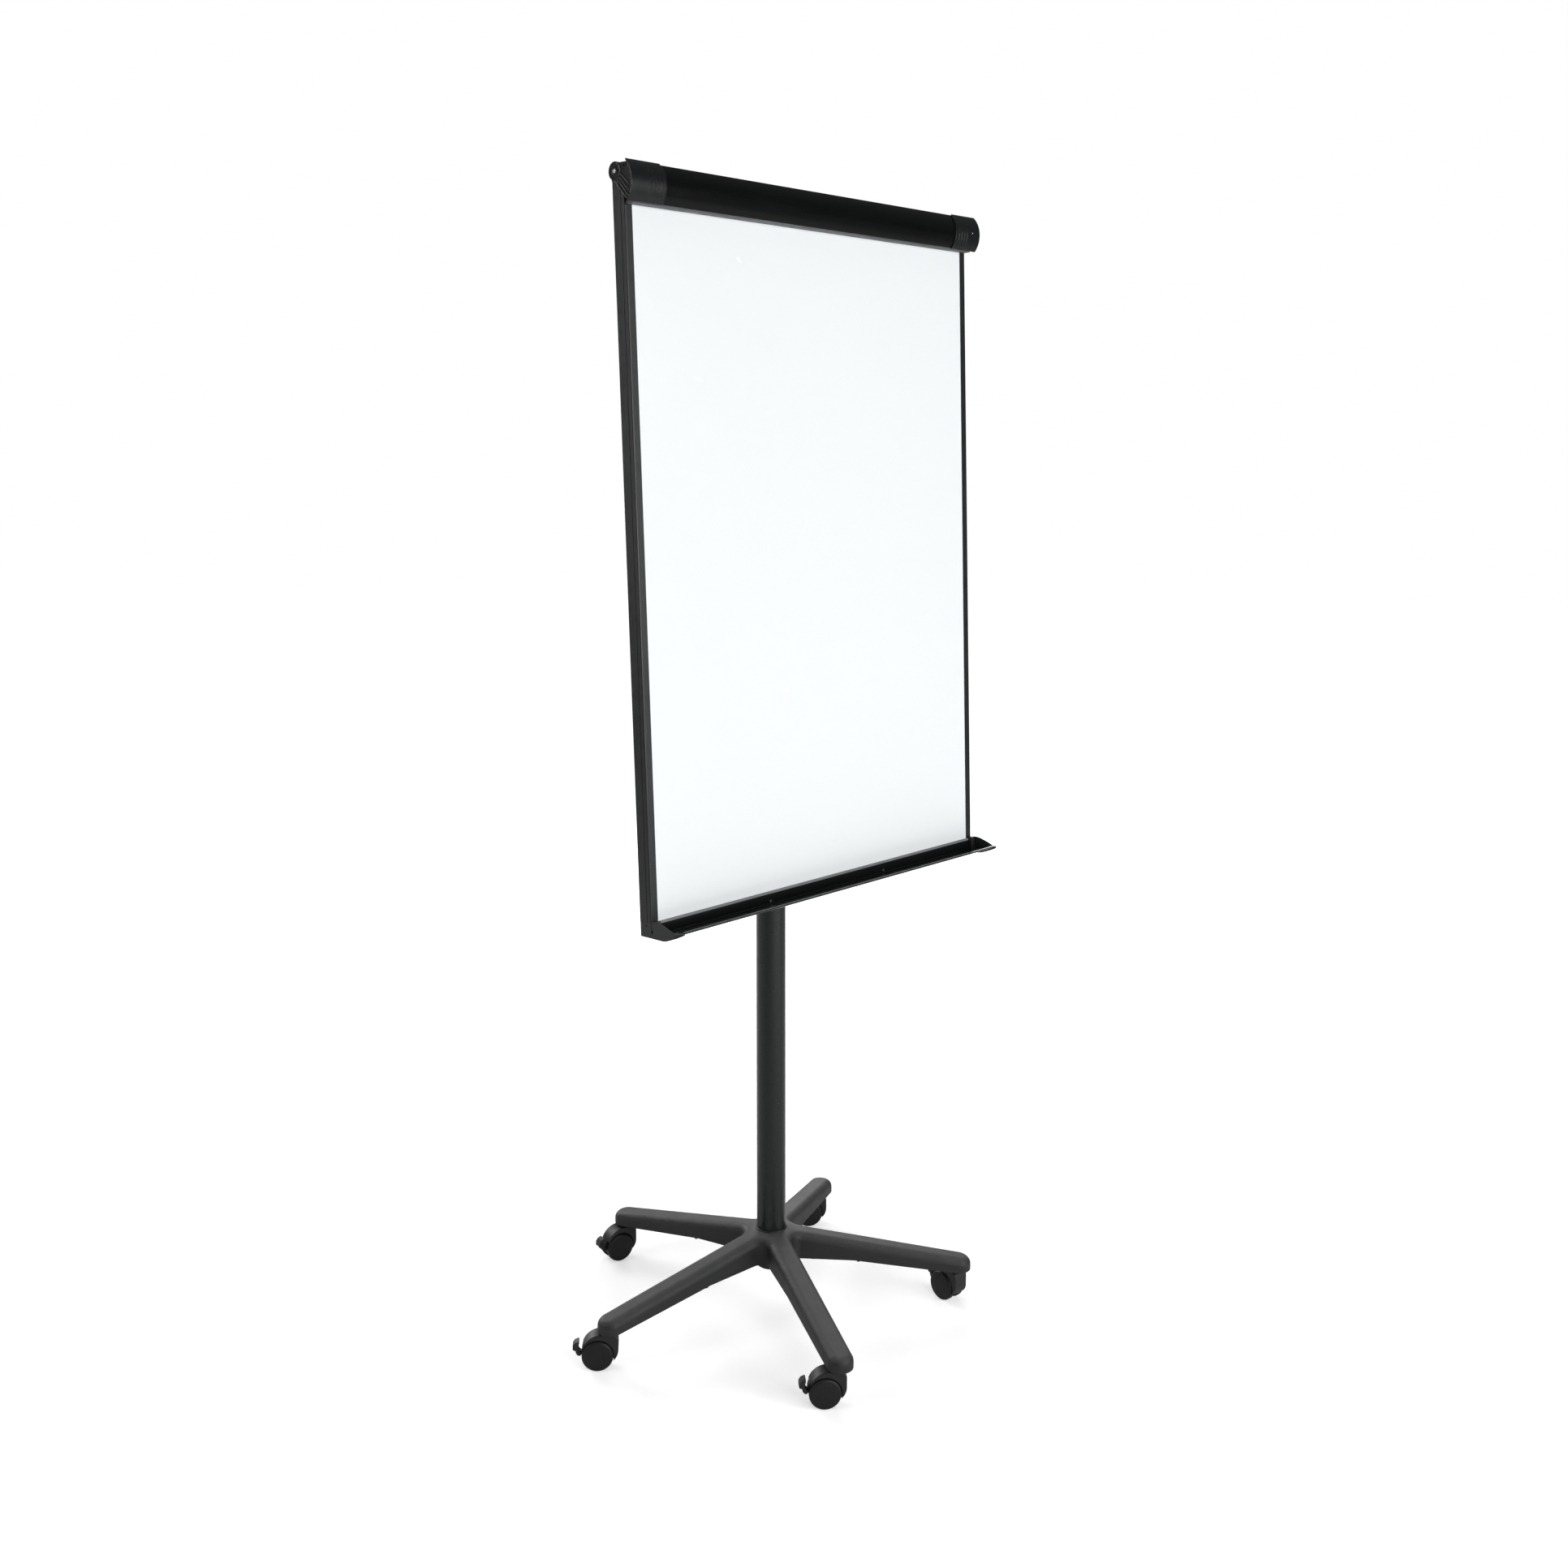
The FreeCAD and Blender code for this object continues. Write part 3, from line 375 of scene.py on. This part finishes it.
FLATTER_THAN_DEG = 0.6   # neighbouring facets closer than this are one face
SHARPER_THAN_DEG = 32    # edges that get rounded off
EDGE_WIDTHS = {
    "base_star": 0.0008, "height_collar": 0.0004, "rail_plugs": 0.0004, "hinge_lugs": 0.0004,
    "clamp_cover": 0.0004, "column_brackets": 0.0008, "cross_rails": 0.0008, "pen_tray": 0.0003,
    **{f"tray_cap_{s}": 0.0004 for s in SIDES}, **{f"clamp_grip_{s}": 0.0004 for s in SIDES},
    **{f"clamp_arm_{s}": 0.0003 for s in SIDES},
}


def softened(node, width):
    """Stands for a CAD node: the same shape, with its flat faces whole and its edges rounded off."""
    source = nodes[node]
    mesh = bpy.data.meshes.new(node + "_soft")
    bm = bmesh.new()
    copies = [bm.verts.new(v.co) for v in source.data.vertices]
    for polygon in source.data.polygons:
        try:
            bm.faces.new([copies[i] for i in polygon.vertices])
        except ValueError:
            continue
    bmesh.ops.remove_doubles(bm, verts=bm.verts, dist=2e-6)
    bmesh.ops.dissolve_limit(bm, angle_limit=math.radians(FLATTER_THAN_DEG), verts=bm.verts, edges=bm.edges,
                             use_dissolve_boundaries=False)
    for face in bm.faces:
        face.smooth = True
    bm.to_mesh(mesh)
    bm.free()
    piece = bpy.data.objects.new(node + "_soft", mesh)
    bpy.context.scene.collection.objects.link(piece)
    mesh.materials.append(source.data.materials[0])
    bevel = piece.modifiers.new("edges", "BEVEL")
    bevel.width, bevel.segments = width, 2
    bevel.limit_method, bevel.angle_limit = "ANGLE", math.radians(SHARPER_THAN_DEG)
    bevel.harden_normals = True
    bevel.use_clamp_overlap = True
    piece.modifiers.new("normals", "WEIGHTED_NORMAL").keep_sharp = True
    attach(piece, body_of_node[node])
    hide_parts(node)


for name, width in EDGE_WIDTHS.items():
    softened(name, width)


def rivet_head(name, place, node):
    """A low domed head on the front of the board, with its rim at place, moving with that node."""
    radius, height = 0.0011, 0.0006
    rings, around = 4, 16
    points, faces = [(0, 0, height)], []
    for i in range(1, rings + 1):
        lean = math.pi / 2 * i / rings
        points += [(radius * math.sin(lean) * math.cos(2 * math.pi * k / around),
                    radius * math.sin(lean) * math.sin(2 * math.pi * k / around), height * math.cos(lean))
                   for k in range(around)]
    for k in range(around):
        after = (k + 1) % around
        faces.append((0, 1 + k, 1 + after))
        for i in range(rings - 1):
            a, b = 1 + i * around, 1 + (i + 1) * around
            faces.append((a + k, b + k, b + after, a + after))
    faces.append([1 + (rings - 1) * around + k for k in reversed(range(around))])
    mesh = bpy.data.meshes.new(name)
    mesh.from_pydata(points, [], faces)
    mesh.polygons.foreach_set("use_smooth", [True] * (len(faces) - 1) + [False])
    mesh.materials.append(steel.material)
    piece = bpy.data.objects.new(name, mesh)
    bpy.context.scene.collection.objects.link(piece)
    piece.matrix_world = Matrix.Translation(place) @ BOARD_OUT.to_track_quat("Z", "Y").to_matrix().to_4x4()
    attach(piece, body_of_node[node])


rivet_head("grip_rivet_right", on_board(0.3435, -0.0254, 0.9715), "clamp_grip_right")


# ---- studio -------------------------------------------------------------

def lamp(name, place, target, size, power):
    """A soft box of that width and height, turned towards target."""
    data = bpy.data.lights.new(name, "AREA")
    data.shape, data.size, data.size_y = "RECTANGLE", size[0], size[1]
    data.energy = power
    light = bpy.data.objects.new(name, data)
    bpy.context.scene.collection.objects.link(light)
    aim = Vector(target) - Vector(place)
    light.matrix_world = Matrix.Translation(place) @ aim.to_track_quat("-Z", "Y").to_matrix().to_4x4()


def floor():
    """White ground that runs out into the pale surroundings, glowing for the camera and less so near the
    object.
    """
    mesh = bpy.data.meshes.new("studio_floor")
    half = 14.0
    corners = [(x * half, y * half, 0) for x, y in ((-1, -1), (1, -1), (1, 1), (-1, 1))]
    mesh.from_pydata(corners, [], [(0, 1, 2, 3)])
    piece = bpy.data.objects.new("studio_floor", mesh)
    bpy.context.scene.collection.objects.link(piece)
    s = Shader("studio_floor", (0.86, 0.86, 0.86), 0.75, specular_ior_level=0.2)
    # painted light: the floor glows where the camera sees it, at 0.45 near the object and fully from 3 m out
    seen = s.node("ShaderNodeLightPath").outputs["Is Camera Ray"]
    away = s.node("ShaderNodeVectorMath", {0: s.place}, operation="LENGTH").outputs["Value"]
    s.use(base_color=s.blend(s.noise(0.8, 2), (0.85, 0.85, 0.85), (0.87, 0.87, 0.87)),
          emission_color=(1, 1, 1, 1),
          emission_strength=s.math("MULTIPLY", seen, s.spread(away, 0.5, 3.0, 0.45, 1.0)))
    mesh.materials.append(s.material)


def sky(level, overhead, seen):
    """Pale surroundings that brighten overhead; level and overhead light the object, seen shows behind it."""
    world = bpy.data.worlds.new("studio")
    bpy.context.scene.world = world
    world.use_nodes = True
    tree = world.node_tree
    tree.nodes.clear()

    def add(kind, **inputs):
        made = tree.nodes.new(kind)
        for key, value in inputs.items():
            socket = made.inputs[key.replace("_", " ")]
            if isinstance(value, bpy.types.NodeSocket):
                tree.links.new(value, socket)
            else:
                socket.default_value = value
        return made

    direction = add("ShaderNodeTexCoord").outputs["Generated"]
    up = add("ShaderNodeSeparateXYZ", Vector=direction).outputs["Z"]
    strength = add("ShaderNodeMapRange", Value=up, From_Min=0.0, From_Max=0.9, To_Min=level, To_Max=overhead)
    lighting = add("ShaderNodeBackground", Color=(1, 1, 1, 1), Strength=strength.outputs["Result"])
    behind = add("ShaderNodeBackground", Color=(1, 1, 1, 1), Strength=seen)
    mix = add("ShaderNodeMixShader", Fac=add("ShaderNodeLightPath").outputs["Is Camera Ray"])
    tree.links.new(lighting.outputs[0], mix.inputs[1])
    tree.links.new(behind.outputs[0], mix.inputs[2])
    add("ShaderNodeOutputWorld", Surface=mix.outputs[0])


floor()
sky(level=0.045, overhead=0.18, seen=1.0)
lamp("front_left", (-0.9, -3.3, 1.45), (0, 0, 1.1), (1.5, 1.8), 46)
lamp("front_right", (0.9, -3.3, 1.35), (0, 0, 1.1), (1.5, 1.8), 67)
lamp("right_rear", (2.6, 2.2, 1.7), (0, 0, 1.0), (1.5, 1.8), 36)
lamp("rear", (0.0, 3.4, 1.7), (0, 0, 1.0), (1.8, 1.8), 68)
lamp("left_rear", (-3.1, 1.45, 1.7), (0, 0, 1.1), (1.3, 1.9), 29)
lamp("top", (-0.3, -0.4, 4.2), (0, 0, 0), (2.4, 2.4), 16)
bpy.context.scene.view_settings.view_transform = "Standard"

# ---- camera -------------------------------------------------------------

TURN, PITCH, YAW = math.radians(45.76), 0.157, 0.0083   # round the object, down, and to the right
DISTANCE, HEIGHT = 2.484, 1.358
optics = bpy.data.cameras.new("camera")
optics.sensor_width, optics.lens, optics.shift_y = 36.0, 37.58, -0.0415
camera = bpy.data.objects.new("camera", optics)
bpy.context.scene.collection.objects.link(camera)
camera.location = (-DISTANCE * math.sin(TURN), -DISTANCE * math.cos(TURN), HEIGHT)
camera.rotation_euler = (math.pi / 2 - PITCH, 0, -(TURN + YAW))
bpy.context.scene.camera = camera
